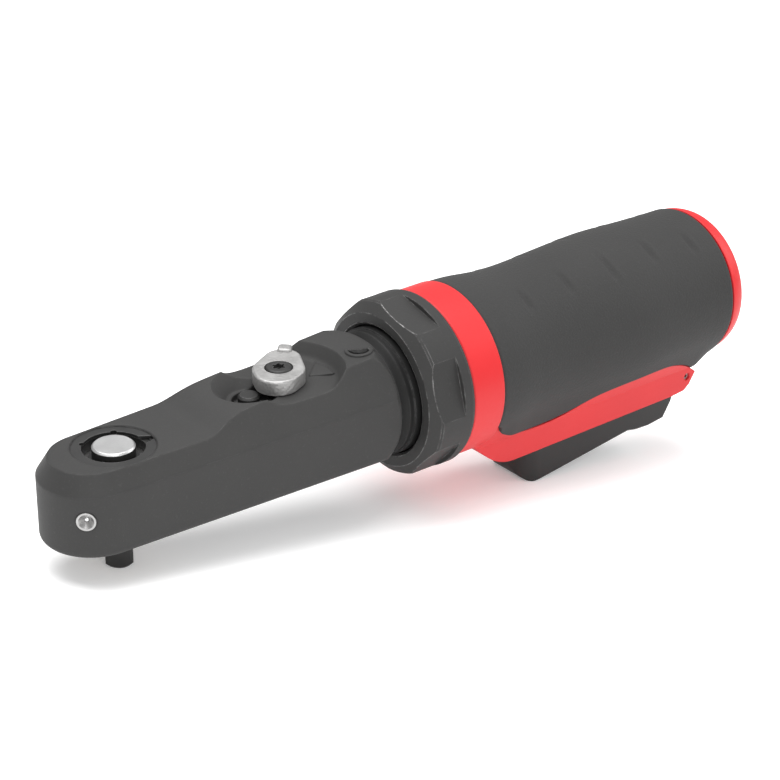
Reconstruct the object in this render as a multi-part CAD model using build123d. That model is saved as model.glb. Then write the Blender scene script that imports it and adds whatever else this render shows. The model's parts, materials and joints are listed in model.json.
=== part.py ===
from build123d import *
import os
from math import atan2, cos, pi, radians, sin, tan

os.makedirs("parts", exist_ok=True)

# Air ratchet, quarter-inch square drive. Millimetres, +Z up.
# The tool's long axis is X and the drive's axis is Z; they cross at the origin.
# The head points to -X and the handle to +X.

# ---------------------------------------------------------------- driving dimensions
DRIVE_SQUARE = 6.35          # across the flats of the drive square
DRIVE_TIP_Z = -20.3          # end of the drive square
DRIVE_END_R = 2.9            # round end face that the square is turned down to
DRIVE_TURN = -33.0           # how the square stands at rest, degrees about +Z
DETENT_Z = -15.6
RUNNING = 0.05               # radial clearance of a shaft in its bush
GAP = 0.3                    # clearance between curved faces that only pass each other

# ratchet head
HEAD_TOP = 10.0
HEAD_BOTTOM = -10.2
SHOULDER_Z = 5.5             # lower edge of the long top chamfer
TOP_TAPER = 31.9             # lean of that chamfer from the vertical, degrees
NOSE_X = -6.0                # centre of the nose's plan arc
NOSE_R = 12.6
HEAD_END_X = 71.0
HEAD_END_HALF = 15.6         # half-width where the head meets the neck
HUMP_Z = 13.2                # rim of the selector pocket
NECK_TOP_Z = 15.3
COLLAR_X = 74.4
COLLAR_R = 15.5
FLANGE_R = 17.6
FLANGE_X = 78.3
FLANGE_END_X = 82.0
GEAR_BORE_R = 9.3            # upright bore that holds the gear and the yoke
CHAMBER_FLOOR = -4.5
SHAFT_BORE_R = 8.1
MOUTH_R = 10.1               # chamfered mouth of the gear bore
RING_Z = (8.85, 9.65)        # retaining ring, just under the head's top
RING_INNER_R = 7.3
GREASE_ANGLE = 230.5         # where the grease fitting sits on the nose arc
GREASE_Z = -0.35

# ratchet
GEAR_TEETH = 18
GEAR_TIP_R = 6.6
GEAR_ROOT_R = 5.6
GEAR_HALF = 4.0
LOWER_JOURNAL_R = 6.0
UPPER_JOURNAL_R = 5.9
UPPER_JOURNAL_TOP = 7.0
BUTTON_R = 5.0               # bright round end of the drive anvil
BUTTON_TOP = 10.3
YOKE_OUTER_R = 9.0
YOKE_INNER_R = 6.95
YOKE_HALF = 4.2
FORK_X = (22.0, 31.0)
FORK_INNER = 5.0
FORK_OUTER = 7.6
PAWL_PIN_X = 10.9
PAWL_REST_TILT = 6.0
PIN_R = 1.2

# reversing gear
SELECTOR_X = 37.3
SELECTOR_R = 2.6
SELECTOR_TOP = 11.0
SELECTOR_REST = -17.1        # degrees about +Z from +X
PIVOT_X = 46.0               # reversing lever's pivot
LEVER_REST = 45.0
DOG_RADIUS = 2.9
LEVER_SCREW_R = 1.5
POCKET_R = (5.2, 10.2)       # at its floor and 5 mm above it
POCKET_FLOOR = 9.6
SELECTOR_HOLE_R = 4.1
DISH_FLOOR = 11.4            # flat dish that the reversing lever swings in
DISH_R = 16.0
DISH_RAMP_X = (35.5, 44.5)   # where the hump slopes down to the dish
SHIFT_REST = 2.02

# crank and planetary gears
ECCENTRIC = 1.2
CRANK_PIN_R = 1.6
CRANK_BUSH_R = 2.4
WEB_R = 4.0
JOURNAL_R = 5.0
MODULE = 0.5
SUN_TEETH = 15
PLANET_TEETH = 15
RING_TEETH = 45
PLANET_X = (75.2, 81.2)
CARRIER_X = (70.6, 74.8)
CARRIER_R = 10.2
SUN_PITCH_R = MODULE * SUN_TEETH / 2
PLANET_PITCH_R = MODULE * PLANET_TEETH / 2
PLANET_CENTRE_R = SUN_PITCH_R + PLANET_PITCH_R
RING_PITCH_R = MODULE * RING_TEETH / 2
PLANET_PIN_R = 1.3

# motor
CASE_BORE_R = 15.2
CASE_BORE_END_X = 136.0
CASE_TUBE_R = 18.2
ROTOR_X = (91.0, 125.0)
ROTOR_R = 11.3
CYLINDER_BORE_R = 12.6
CYLINDER_OFFSET = 1.2
VANES = 5
ROTOR_SHAFT_R = 3.0
BEARING_R = (3.0, 4.4, 6.6, 8.0)   # bore, inner race, outer race, outside
BEARING_BALLS = 8
BEARING_WIDTH = 3.6
END_PLATE_FLOOR = 1.8        # wall between the cylinder and a bearing
END_GAP = 0.1
FRONT_BEARING_X = ROTOR_X[0] - END_GAP - END_PLATE_FLOOR - BEARING_WIDTH
REAR_BEARING_X = ROTOR_X[1] + END_GAP + END_PLATE_FLOOR

# handle
NUT_X = 75.5
NUT_END_X = 88.0
NUT_R = 22.1
NUT_FLATS = 6
NUT_FLAT_ANGLE = 13.5        # first flat, from the top towards -Y
NUT_FLAT_END_X = 84.6
BAND_END_X = 97.7
BAND_R = 21.4
GRIP_END_X = 177.0
GRIP_PROFILE = [(97.8, 21.1), (104, 20.9), (112, 20.0), (121, 19.7), (134, 20.3),
                (148, 20.8), (162, 20.2), (171, 19.9), (176.2, 19.8)]
CASE_END_X = 177.0
CAP_END_X = 181.8
CAP_R = 19.5
KEEL_HALF = 13.6
FLANK_TOP = (17.9, -8.9)     # y, z where the round case turns into the keel's flat flank
KEEL_BOTTOM = -24.8
KEEL_END_X = 170.5
KEEL_TIP_Z = -19.4
RECESS = 1.8                 # how far the case lies under the grip's skin

# throttle
LEVER_HALF = 7.5
LEVER_WALL = 1.8
LEVER_CORNER_R = 5.5
LEVER_PIVOT = (167.6, -20.2)       # x, z
LEVER_FRONT_X = 116.2
LEVER_BOTTOM_Z = -37.6
LEVER_PIN_R = 1.0
VALVE_X = 148.0
VALVE_R = 4.4
STEM_R = 1.5
STEM_TIP_Z = -26.0
INLET_R = 5.65               # tapping size of a quarter-inch pipe thread
INLET_DEPTH = 16.0
INLET_END_X = 184.0


# ---------------------------------------------------------------- helpers
BOTTOM = (Align.CENTER, Align.CENTER, Align.MIN)
TOP = (Align.CENTER, Align.CENTER, Align.MAX)


def save(shape, name):
    solids = shape.solids()
    body = solids[0] if len(solids) == 1 else Compound(children=list(solids))
    export_step(body, f"parts/{name}.step")


def turned(points):
    """Solid of revolution about X: points are (x, radius) pairs of a closed outline."""
    return revolve(make_face(Polyline(*points, close=True)), Axis.X)


def tube(x0, x1, inner, outer):
    return turned([(x0, inner), (x1, inner), (x1, outer), (x0, outer)])


def rod(x0, x1, radius, y=0, z=0):
    return Pos((x0 + x1) / 2, y, z) * Rot(0, 90, 0) * Cylinder(radius, x1 - x0)


def post(z0, z1, radius, x=0, y=0):
    return Pos(x, y, (z0 + z1) / 2) * Cylinder(radius, z1 - z0)


def ring(z0, z1, inner, outer, x=0, y=0):
    return post(z0, z1, outer, x, y) - post(z0 - 1, z1 + 1, inner, x, y)


def block(x, y, z):
    """Box from three (low, high) pairs."""
    sizes = [hi - lo for lo, hi in (x, y, z)]
    middle = [(hi + lo) / 2 for lo, hi in (x, y, z)]
    return Pos(*middle) * Box(*sizes)


def side_plate(outline, half):
    """Plate with its outline in the XZ plane and its thickness centred on Y = 0."""
    face = make_face(outline)
    return extrude(face, half, both=True, dir=(0, 1, 0))


def coil(radius, wire, height, turns):
    """Compression spring standing on Z = 0."""
    path = Helix(height / turns, height, radius)
    section = Plane(path @ 0, z_dir=path % 0) * Circle(wire)
    return sweep(section, path)


def toothed(teeth, root, tip, root_half, tip_half):
    """Face with straight-flanked teeth; the half-angles are parts of one pitch."""
    pitch = 2 * pi / teeth
    points = []
    for i in range(teeth):
        for radius, part in ((root, -root_half), (tip, -tip_half), (tip, tip_half), (root, root_half)):
            angle = (i + part) * pitch
            points.append((radius * cos(angle), radius * sin(angle)))
    return make_face(Polyline(*points, close=True))


def gear_along_x(face, x0, x1):
    """Extrude a gear face along X, with its first tooth pointing to +Z."""
    return Pos(x0, 0, 0) * Rot(0, 90, 0) * Rot(0, 0, 180) * extrude(face, x1 - x0)


# ---------------------------------------------------------------- ratchet head
def head_plan(inset=0):
    """Nose arc with two long sides that spread towards the neck."""
    spread = atan2(HEAD_END_HALF - NOSE_R, HEAD_END_X - NOSE_X)
    radius = NOSE_R - inset
    end_half = HEAD_END_HALF - inset
    touch_x = NOSE_X - radius * sin(spread)
    touch_y = radius * cos(spread)
    nose = ThreePointArc((touch_x, touch_y), (NOSE_X - radius, 0), (touch_x, -touch_y))
    sides = Polyline((touch_x, -touch_y), (HEAD_END_X, -end_half), (HEAD_END_X, end_half),
                     (touch_x, touch_y))
    return make_face(nose + sides)


def head_side_profile():
    """Level top over the gear, a soft ramp to the hump, then a slow rise to the neck."""
    ramp = Spline((17.5, HEAD_TOP), (23.5, HEAD_TOP + 1.6), (29.5, HUMP_Z),
                  tangents=[(1, 0), (1, 0.1)])
    rise = Spline((29.5, HUMP_Z), (56, NECK_TOP_Z - 0.7), (HEAD_END_X + 1, NECK_TOP_Z),
                  tangents=[(1, 0.1), (1, 0)])
    rest = Polyline((HEAD_END_X + 1, NECK_TOP_Z), (HEAD_END_X + 1, HEAD_BOTTOM - 1),
                    (-20, HEAD_BOTTOM - 1), (-20, HEAD_TOP), (17.5, HEAD_TOP))
    return Plane.XZ * (ramp + rise + rest)


def head_outside():
    lower = Pos(0, 0, HEAD_BOTTOM) * extrude(head_plan(), SHOULDER_Z - HEAD_BOTTOM)
    lower = fillet(lower.faces().sort_by(Axis.Z)[0].edges().sort_by(Axis.X)[:-1], 1.6)
    rise = NECK_TOP_Z + 1 - SHOULDER_Z
    top_plan = head_plan(rise * tan(radians(TOP_TAPER)))
    sections = [Pos(0, 0, SHOULDER_Z) * head_plan(), Pos(0, 0, SHOULDER_Z + rise) * top_plan]
    upper = loft(sections, ruled=True)
    side = side_plate(head_side_profile(), 30)
    shoulders = turned([(-25, 0), (-25, 30), (64, 18.6), (68, 17.2), (70.2, 15.8),
                        (HEAD_END_X, 14.6), (HEAD_END_X, 0)])
    return (lower + upper) & side & shoulders


def neck_outside():
    """Round collar that the clamp nut's lip passes, and the flange that it pulls on."""
    return turned([(66.5, 0), (66.5, 9.0), (69.5, 13.6), (71.5, 14.3), (72.6, COLLAR_R - 0.3),
                   (73.0, COLLAR_R), (COLLAR_X, COLLAR_R), (COLLAR_X, 15.9), (FLANGE_X, 15.9),
                   (FLANGE_X, FLANGE_R), (FLANGE_END_X, FLANGE_R), (FLANGE_END_X, 0)])


def lever_dish():
    """Flat dish in the hump, round about the lever's pivot, with a soft ramp at its front."""
    bowl = Pos(PIVOT_X, 0, DISH_FLOOR) * Cone(DISH_R - 2.6, DISH_R + 1.8, 6, align=BOTTOM)
    bowl = fillet(bowl.faces().sort_by(Axis.Z)[0].edges(), 2.4)
    ramp = Spline((DISH_RAMP_X[0], HUMP_Z + 1.2), (DISH_RAMP_X[1], DISH_FLOOR),
                  tangents=[(0.6, -1), (1, 0)])
    above = Polyline((DISH_RAMP_X[1], DISH_FLOOR), (PIVOT_X + 40, DISH_FLOOR), (PIVOT_X + 40, 20),
                     (DISH_RAMP_X[0], 20), (DISH_RAMP_X[0], HUMP_Z + 1.2))
    return bowl & side_plate(Plane.XZ * (ramp + above), 25)


def head_cuts():
    gear_room = post(CHAMBER_FLOOR, HEAD_TOP + 3, GEAR_BORE_R)
    mouth = Pos(0, 0, HEAD_TOP) * Cone(GEAR_BORE_R, MOUTH_R, 0.5, align=TOP)
    ring_groove = post(RING_Z[0] - 0.05, RING_Z[1] + 0.05, GEAR_BORE_R + 0.6)
    bush_hole = post(HEAD_BOTTOM - 1, 0, 7.3)
    arm_room = block((0, 34), (-9.2, 9.2), (CHAMBER_FLOOR, 4.6))
    link_room = block((0, 34.6), (-4.2, 4.2), (4, 6.2))
    finger_room = post(4.3, 6.2, 6.0, SELECTOR_X - 1.5)
    web_room = rod(30, 52, 4.6)
    bearing_room = rod(52, 64.5, SHAFT_BORE_R)
    journal_room = rod(64, 71, 6.0)
    carrier_room = rod(70.2, 90, 10.9)
    ring_room = rod(74.9, 90, 13.2)
    return [gear_room, mouth, ring_groove, bush_hole, arm_room, link_room, finger_room, web_room,
            bearing_room, journal_room, carrier_room, ring_room]


def selector_cuts():
    """Conical pocket, the stepped hole for the selector and the slot for its arm."""
    pocket = Pos(SELECTOR_X, 0, POCKET_FLOOR) * Cone(*POCKET_R, 5, align=BOTTOM)
    hole = post(8.2, 14, SELECTOR_HOLE_R, SELECTOR_X)
    stem = post(4, 14, SELECTOR_R + RUNNING, SELECTOR_X)
    slot = block((SELECTOR_X, PIVOT_X + 0.4), (-4.2, 4.2), (8.2, 14))
    screw = post(5.6, 14, LEVER_SCREW_R + RUNNING, PIVOT_X)
    detent = post(7.0, 14, 1.05, PIVOT_X + 4.6)
    return [pocket, hole, stem, slot, screw, detent]


def on_nose(depth):
    """Location on the nose with local Z pointing out; depth is measured inwards."""
    a = radians(GREASE_ANGLE)
    r = NOSE_R - depth
    place = (NOSE_X + r * cos(a), r * sin(a), GREASE_Z)
    return Location(Plane(origin=place, x_dir=(0, 0, 1), z_dir=(cos(a), sin(a), 0)))


def ratchet_housing():
    body = head_outside() + neck_outside()
    body -= lever_dish()
    for cut in head_cuts() + selector_cuts():
        body -= cut
    return body - on_nose(3.4) * Cylinder(2.3, 8, align=BOTTOM)


def grease_fitting():
    body = on_nose(3.3) * Cylinder(2.25, 3.4, align=BOTTOM)
    funnel = on_nose(0) * Pos(0, 0, -1.1) * Cone(0.7, 1.9, 1.3, align=BOTTOM)
    return body - funnel - on_nose(3.5) * Cylinder(0.7, 3, align=BOTTOM)


def grease_ball():
    return on_nose(1.45) * Sphere(0.68)


# ---------------------------------------------------------------- ratchet
def square_bar(z0, z1, across):
    bar = block((-across / 2, across / 2), (-across / 2, across / 2), (z0, z1))
    return Rot(0, 0, DRIVE_TURN) * fillet(bar.edges().filter_by(Axis.Z), 0.7)


def ratchet_gear():
    face = toothed(GEAR_TEETH, GEAR_ROOT_R, GEAR_TIP_R, 0.42, 0.14)
    teeth = Pos(0, 0, -GEAR_HALF) * extrude(face, 2 * GEAR_HALF)
    body = teeth + post(-9.9, -GEAR_HALF, LOWER_JOURNAL_R)
    body += post(GEAR_HALF, UPPER_JOURNAL_TOP, UPPER_JOURNAL_R)
    return body - square_bar(-12, 12, DRIVE_SQUARE + 0.1)


def in_detent(depth):
    """Location on the detent's axis with local Z pointing out of its face; 0 is the drive's axis."""
    a = radians(90 + DRIVE_TURN)
    place = (depth * cos(a), depth * sin(a), DETENT_Z)
    return Location(Plane(origin=place, x_dir=(0, 0, 1), z_dir=(cos(a), sin(a), 0)))


def drive_anvil():
    bar = square_bar(DRIVE_TIP_Z, UPPER_JOURNAL_TOP, DRIVE_SQUARE)
    taper = DRIVE_SQUARE * 0.71 - DRIVE_END_R
    end = Pos(0, 0, DRIVE_TIP_Z) * Cone(DRIVE_END_R, DRIVE_END_R + taper, taper, align=BOTTOM)
    bar &= end + post(DRIVE_TIP_Z + taper, UPPER_JOURNAL_TOP, DRIVE_END_R + taper)
    button = post(UPPER_JOURNAL_TOP, BUTTON_TOP, BUTTON_R)
    button = chamfer(button.faces().sort_by(Axis.Z)[-1].edges(), 0.45)
    return bar + button - in_detent(-0.7) * Cylinder(1.25, 6, align=BOTTOM)


def detent_ball():
    return in_detent(DRIVE_SQUARE / 2 - 0.45) * Sphere(1.2)


def detent_spring():
    return in_detent(-0.4) * coil(0.8, 0.15, 1.6, 3)


def thrust_washer():
    return ring(4.95, 5.0 + 1.1, UPPER_JOURNAL_R + GAP, GEAR_BORE_R - 0.05)


def wave_spring():
    return ring(6.2, RING_Z[0] - 0.15, RING_INNER_R + 0.4, GEAR_BORE_R - 0.3)


def head_circlip():
    """Internal retaining ring with a tapered gap and two notches for pliers."""
    body = ring(*RING_Z, RING_INNER_R, GEAR_BORE_R + 0.45)
    gap = make_face(Polyline((6, -2.4), (6, 2.4), (10.5, 0.5), (10.5, -0.5), close=True))
    body -= Rot(0, 0, -9) * Pos(0, 0, RING_Z[0] - 1) * extrude(gap, 3)
    for angle in (57, 131):
        a = radians(angle)
        body -= post(7, 11, 0.75, RING_INNER_R * cos(a), RING_INNER_R * sin(a))
    return body


def gear_bush():
    return ring(HEAD_BOTTOM, -GEAR_HALF - 0.2, LOWER_JOURNAL_R + RUNNING, 7.3)


def yoke():
    """Rocker: a ring round the gear, a window for the pawl and a fork for the crank."""
    body = ring(-YOKE_HALF, YOKE_HALF, YOKE_INNER_R, YOKE_OUTER_R)
    arm = block((7.5, FORK_X[1]), (-FORK_OUTER, FORK_OUTER), (-YOKE_HALF, YOKE_HALF))
    body += arm - post(-5, 5, YOKE_INNER_R)
    window = block((5, 13.4), (-4.9, 4.9), (-2.6, 2.6))
    plunger_hole = rod(13, 20, 1.3)
    fork_gap = block((FORK_X[0] - 1.5, 40), (-FORK_INNER, FORK_INNER), (-5, 5))
    pin_hole = post(-5, 5, PIN_R, PAWL_PIN_X)
    return body - window - plunger_hole - fork_gap - pin_hole


def pawl():
    """Double-ended pawl: two noses face the gear, a heel takes the plunger."""
    nose_x = GEAR_TIP_R + 0.62
    outline = Polyline((nose_x + 0.55, 0), (nose_x - 0.05, 1.9), (nose_x - 0.45, 3.7),
                       (10.6, 4.2), (12.5, 1.2), (12.5, -1.2), (10.6, -4.2),
                       (nose_x - 0.45, -3.7), (nose_x - 0.05, -1.9), close=True)
    body = Pos(0, 0, -2.4) * extrude(make_face(outline), 4.8)
    body -= post(-5, 5, PIN_R + RUNNING, PAWL_PIN_X)
    body -= post(-5, 5, GEAR_TIP_R + 0.62)
    return Pos(PAWL_PIN_X, 0, 0) * Rot(0, 0, PAWL_REST_TILT) * Pos(-PAWL_PIN_X, 0, 0) * body


def pawl_pin():
    return post(-YOKE_HALF, YOKE_HALF, PIN_R, PAWL_PIN_X)


def pawl_plunger():
    return rod(13.6, 16.4, 1.2) + Pos(13.6, 0, 0) * Sphere(0.75)


def pawl_spring():
    return Pos(16.5, 0, 0) * Rot(0, 90, 0) * coil(0.85, 0.16, 3.3, 6)


# ---------------------------------------------------------------- reversing gear
def turned_about(x, angle, shape):
    return Pos(x, 0, 0) * Rot(0, 0, angle) * Pos(-x, 0, 0) * shape


def shift_plate():
    """Flat link round the gear's journal; its forked tail follows the selector's finger."""
    body = ring(YOKE_HALF + 0.1, 4.8, UPPER_JOURNAL_R + GAP, 8.2)
    body += block((7.2, 34.2), (-2.0, 2.0), (YOKE_HALF + 0.1, 4.8))
    body -= block((32.6, 36), (-1.0, 1.0), (4, 5))
    body = body - post(4, 5, UPPER_JOURNAL_R + GAP)
    return Rot(0, 0, SHIFT_REST) * body


def selector():
    """Upright post: round head in the pocket, an arm to the lever's dog, a finger below."""
    body = post(5.0, SELECTOR_TOP, SELECTOR_R, SELECTOR_X)
    body = chamfer(body.faces().sort_by(Axis.Z)[-1].edges(), 0.5)
    arm = block((SELECTOR_X, SELECTOR_X + 6.7), (-1.65, 1.65), (8.5, 9.6))
    notch = block((SELECTOR_X + 4.6, SELECTOR_X + 10), (-1.1, 1.1), (8, 10))
    finger = block((SELECTOR_X - 4.2, SELECTOR_X), (-0.55, 0.55), (4.35, 5.2))
    return turned_about(SELECTOR_X, SELECTOR_REST, body + arm - notch + finger)


def reversing_lever():
    """Cast lever: round hub, a thumb tab towards +X and a short tail."""
    hub = Circle(6.2)
    tab = Pos(5.6, 0) * Circle(4.4)
    tail = Pos(-2.6, 0) * Circle(5.2)
    plan = make_hull((hub + tab + tail).edges())
    body = Pos(0, 0, DISH_FLOOR + 0.3) * extrude(plan, 3.6)
    body = fillet(body.faces().sort_by(Axis.Z)[-1].edges(), 0.55)
    nub = Pos(9.4, 0, DISH_FLOOR + 0.5) * extrude(RectangleRounded(3.4, 3.4, 0.9), 4.2)
    body += fillet(nub.faces().sort_by(Axis.Z)[-1].edges(), 0.6)
    body -= post(5, 20, LEVER_SCREW_R + RUNNING)
    body -= post(DISH_FLOOR + 2.4, 20, 3.4)
    dog = post(8.7, DISH_FLOOR + 1.0, 0.75, -DOG_RADIUS)
    a = radians(-LEVER_REST)
    dimple = Pos(4.6 * cos(a), 4.6 * sin(a), DISH_FLOOR + 0.2) * Sphere(0.9)
    body = body + dog - dimple
    return Pos(PIVOT_X, 0, 0) * Rot(0, 0, LEVER_REST) * body


def lever_screw():
    """Pan-head screw with a six-lobed recess."""
    head = post(DISH_FLOOR + 2.4, DISH_FLOOR + 4.2, 3.2, PIVOT_X)
    head = fillet(head.faces().sort_by(Axis.Z)[-1].edges(), 0.8)
    recess = post(DISH_FLOOR + 3.0, 20, 1.15, PIVOT_X)
    for i in range(6):
        a = radians(60 * i)
        recess += post(DISH_FLOOR + 3.0, 20, 0.42, PIVOT_X + 1.2 * cos(a), 1.2 * sin(a))
    return head + post(5.7, DISH_FLOOR + 2.4, LEVER_SCREW_R, PIVOT_X) - recess


def reverse_detent_ball():
    return Pos(PIVOT_X + 4.6, 0, DISH_FLOOR - 0.65) * Sphere(1.0)


def reverse_detent_spring():
    return Pos(PIVOT_X + 4.6, 0, 7.1) * coil(0.75, 0.15, 2.5, 4)


# ---------------------------------------------------------------- crank and planetary gears
def crank_pin_place(shape):
    return Pos(0, 0, ECCENTRIC) * shape


def crankshaft():
    """Eccentric pin, web and journal in one piece with the planet carrier."""
    body = crank_pin_place(rod(23.4, 33, CRANK_PIN_R)) + rod(32.2, 53, WEB_R)
    body += rod(53, CARRIER_X[0], JOURNAL_R) + rod(*CARRIER_X, CARRIER_R)
    for i in range(3):
        body -= planet_place(i, rod(60, 90, PLANET_PIN_R))
    return body - rod(CARRIER_X[1] - 2, 90, 3.4)


def crank_bushing():
    body = turned([(24, CRANK_PIN_R + RUNNING), (30, CRANK_PIN_R + RUNNING), (30, 2.0), (29, CRANK_BUSH_R),
                   (25, CRANK_BUSH_R), (24, 2.0)])
    return crank_pin_place(body)


def crank_bearing():
    """Needle bearing shell, pressed in the head."""
    return tube(53.4, 64, JOURNAL_R + RUNNING, SHAFT_BORE_R)


def planet_place(index, shape):
    return Rot(120 * index, 0, 0) * Pos(0, 0, PLANET_CENTRE_R) * shape


def outer_teeth(teeth):
    pitch_r = MODULE * teeth / 2
    return toothed(teeth, pitch_r - 1.25 * MODULE, pitch_r + 0.8 * MODULE, 0.27, 0.12)


def planet_gear(index):
    """A tooth points outwards into the ring's space, and a space inwards at the sun's tooth."""
    gear = gear_along_x(outer_teeth(PLANET_TEETH), *PLANET_X)
    gear -= rod(70, 90, PLANET_PIN_R + RUNNING)
    return planet_place(index, gear)


def planet_pins():
    pins = [planet_place(i, rod(CARRIER_X[0], PLANET_X[1] + 0.2, PLANET_PIN_R)) for i in range(3)]
    return Compound(children=pins)


def ring_gear():
    space = toothed(RING_TEETH, RING_PITCH_R - 0.8 * MODULE, RING_PITCH_R + 1.25 * MODULE, 0.36, 0.22)
    return rod(75.0, 82.0, 13.15) - gear_along_x(space, 74, 83)


def rotor():
    """Slotted rotor core, its shaft and the sun pinion cut on the shaft's front end."""
    body = rod(*ROTOR_X, ROTOR_R) + rod(74.0, 133.6, ROTOR_SHAFT_R)
    body += gear_along_x(outer_teeth(SUN_TEETH), 75.2, 82.2)
    for i in range(VANES):
        body -= Rot(360 / VANES * i, 0, 0) * block((80, 140), (-0.8, 0.8), (ROTOR_R - 5.4, ROTOR_R + 1))
    return body


def rotor_vanes():
    """Vanes lie flush in their slots."""
    vane = block((ROTOR_X[0] + 0.3, ROTOR_X[1] - 0.3), (-0.75, 0.75), (ROTOR_R - 5.2, ROTOR_R - 0.1))
    return Compound(children=[Rot(360 / VANES * i, 0, 0) * vane for i in range(VANES)])


def motor_cylinder():
    body = tube(ROTOR_X[0] - END_GAP, ROTOR_X[1] + END_GAP, 0.1, CASE_BORE_R)
    body -= rod(80, 140, CYLINDER_BORE_R, 0, CYLINDER_OFFSET)
    for i in range(4):
        body -= block((97 + 6 * i, 100 + 6 * i), (-4, 4), (-20, -8))
    return body


def end_plate(face_x, rear):
    """Plate that closes the cylinder and carries a ball bearing on its outer side."""
    step = 1 if rear else -1
    seat = BEARING_R[3]
    points = [(face_x, 3.4), (face_x, CASE_BORE_R), (face_x + step * 2.2, CASE_BORE_R),
              (face_x + step * 2.2, 9.8), (face_x + step * 5.4, 9.8), (face_x + step * 5.4, seat),
              (face_x + step * END_PLATE_FLOOR, seat), (face_x + step * END_PLATE_FLOOR, 3.4)]
    return turned(points)


def bearing_race(x, inner, outer):
    """One race with a ball track half its own depth."""
    middle = x + BEARING_WIDTH / 2
    groove = Pos(middle, 0, 0) * Rot(0, 90, 0) * Torus((BEARING_R[1] + BEARING_R[2]) / 2, 1.15)
    return tube(x, x + BEARING_WIDTH, inner, outer) - groove


def bearing_balls(x):
    middle = (BEARING_R[1] + BEARING_R[2]) / 2
    balls = []
    for i in range(BEARING_BALLS):
        a = 2 * pi * i / BEARING_BALLS
        balls.append(Pos(x + BEARING_WIDTH / 2, middle * cos(a), middle * sin(a)) * Sphere(1.1))
    return Compound(children=balls)


# ---------------------------------------------------------------- clamp nut and motor case
def clamp_nut():
    outside = [(NUT_X, 16.9), (NUT_X, 19.4), (NUT_X + 0.5, 20.0), (NUT_X + 2.0, NUT_R - 0.3),
               (NUT_X + 2.6, NUT_R), (NUT_END_X - 1.0, NUT_R), (NUT_END_X - 0.3, NUT_R - 0.3),
               (NUT_END_X, NUT_R - 1.2)]
    inside = [(NUT_END_X, 18.2), (FLANGE_END_X + 0.3, 18.2), (FLANGE_END_X + 0.3, FLANGE_R + 0.2),
              (FLANGE_X - 0.1, FLANGE_R + 0.2), (FLANGE_X - 0.1, 16.3), (NUT_X + 0.6, 16.3)]
    body = turned(outside + inside)
    depth = NUT_R * cos(radians(19.5))
    flat = block((NUT_X + 1.0, NUT_FLAT_END_X), (-12, 12), (depth, depth + 6))
    for i in range(NUT_FLATS):
        body -= Rot(NUT_FLAT_ANGLE + 360 / NUT_FLATS * i, 0, 0) * flat
    return body


def gearcase_gasket():
    return tube(FLANGE_END_X, FLANGE_END_X + 0.5, 13.6, FLANGE_R)


def keel_side():
    """Side view of the case's lower part, which flanks the throttle lever."""
    front = Spline((91, -12), (97.6, -19.6), (108, KEEL_BOTTOM), tangents=[(0.6, -1), (1, -0.05)])
    rest = Polyline((108, KEEL_BOTTOM), (162.5, -24.4), (166.8, -24.0), (168.6, -22.6),
                    (KEEL_END_X, KEEL_TIP_Z), (167.0, -14.6), (160, -9), (91, -9), (91, -12))
    return Plane.XZ * (front + rest)


def flanks(inset):
    """Prism of the flat flanks that join the round case to the keel, inset all over."""
    top_y, top_z = FLANK_TOP
    half = [(0, -2), (top_y - inset, top_z), (KEEL_HALF - inset, -17.6),
            (KEEL_HALF - 0.4 - inset, -30), (0, -30)]
    outline = half + [(-y, z) for y, z in reversed(half[1:-1])]
    face = make_face(Plane.YZ * Polyline(*outline, close=True))
    return Pos(90, 0, 0) * extrude(face, KEEL_END_X + 1.5 - 90, dir=(1, 0, 0))


def motor_case():
    """One-piece motor case: threaded front, band, tube under the grip and lever keel."""
    body = turned([(FLANGE_END_X + 0.5, 0), (FLANGE_END_X + 0.5, 18.15), (NUT_END_X, 18.15),
                   (NUT_END_X, BAND_R - 0.4), (NUT_END_X + 0.4, BAND_R), (BAND_END_X - 0.3, BAND_R),
                   (BAND_END_X, BAND_R - 0.3), (BAND_END_X, CASE_TUBE_R), (CASE_END_X, CASE_TUBE_R),
                   (CASE_END_X, 0)])
    lower = side_plate(keel_side(), 30)
    body += (flanks(RECESS) & lower) + (flanks(0.3) & lower & side_plate(keel_window(), 30))
    body -= rod(80, CASE_BORE_END_X, CASE_BORE_R)
    side = LEVER_HALF + 0.35
    body -= block((LEVER_FRONT_X - 1.4, 173), (-side, side), (-40, -12)) - rod(100, 180, CASE_TUBE_R)
    for cut in air_passages():
        body -= cut
    return body - Pos(LEVER_PIVOT[0], 0, LEVER_PIVOT[1]) * Rot(90, 0, 0) * Cylinder(LEVER_PIN_R, 40)


def air_passages():
    valve_bore = post(-20, 8.5, VALVE_R, VALVE_X)
    inlet_bore = rod(166, CASE_END_X + 1, 9.2)
    supply = rod(148, 168, 4.0, 0, 3.2)
    feed = rod(130, 148, 2.6, 0, -5.5)
    exhaust = [rod(130, CASE_END_X + 1, 2.2, 13.2 * sin(radians(a)), 13.2 * cos(radians(a)))
               for a in (-75, -45, 45, 75)]
    return [valve_bore, inlet_bore, supply, feed] + exhaust


def grip_sleeve():
    """Moulded sleeve round the case, cut away below where the keel comes through."""
    profile = Spline(*[(x, r) for x, r in GRIP_PROFILE])
    start, end = GRIP_PROFILE[0], GRIP_PROFILE[-1]
    rest = Polyline(end, (GRIP_END_X, end[1] - 0.8), (GRIP_END_X, 0), (BAND_END_X, 0),
                    (BAND_END_X, start[1]), start)
    sleeve = revolve(make_face(profile + rest), Axis.X)
    sleeve += flanks(0) & block((BAND_END_X, KEEL_END_X), (-30, 30), (-18, 0))
    return sleeve - side_plate(keel_window(), 30) - flanks(RECESS) - rod(90, 180, CASE_TUBE_R)


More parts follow.
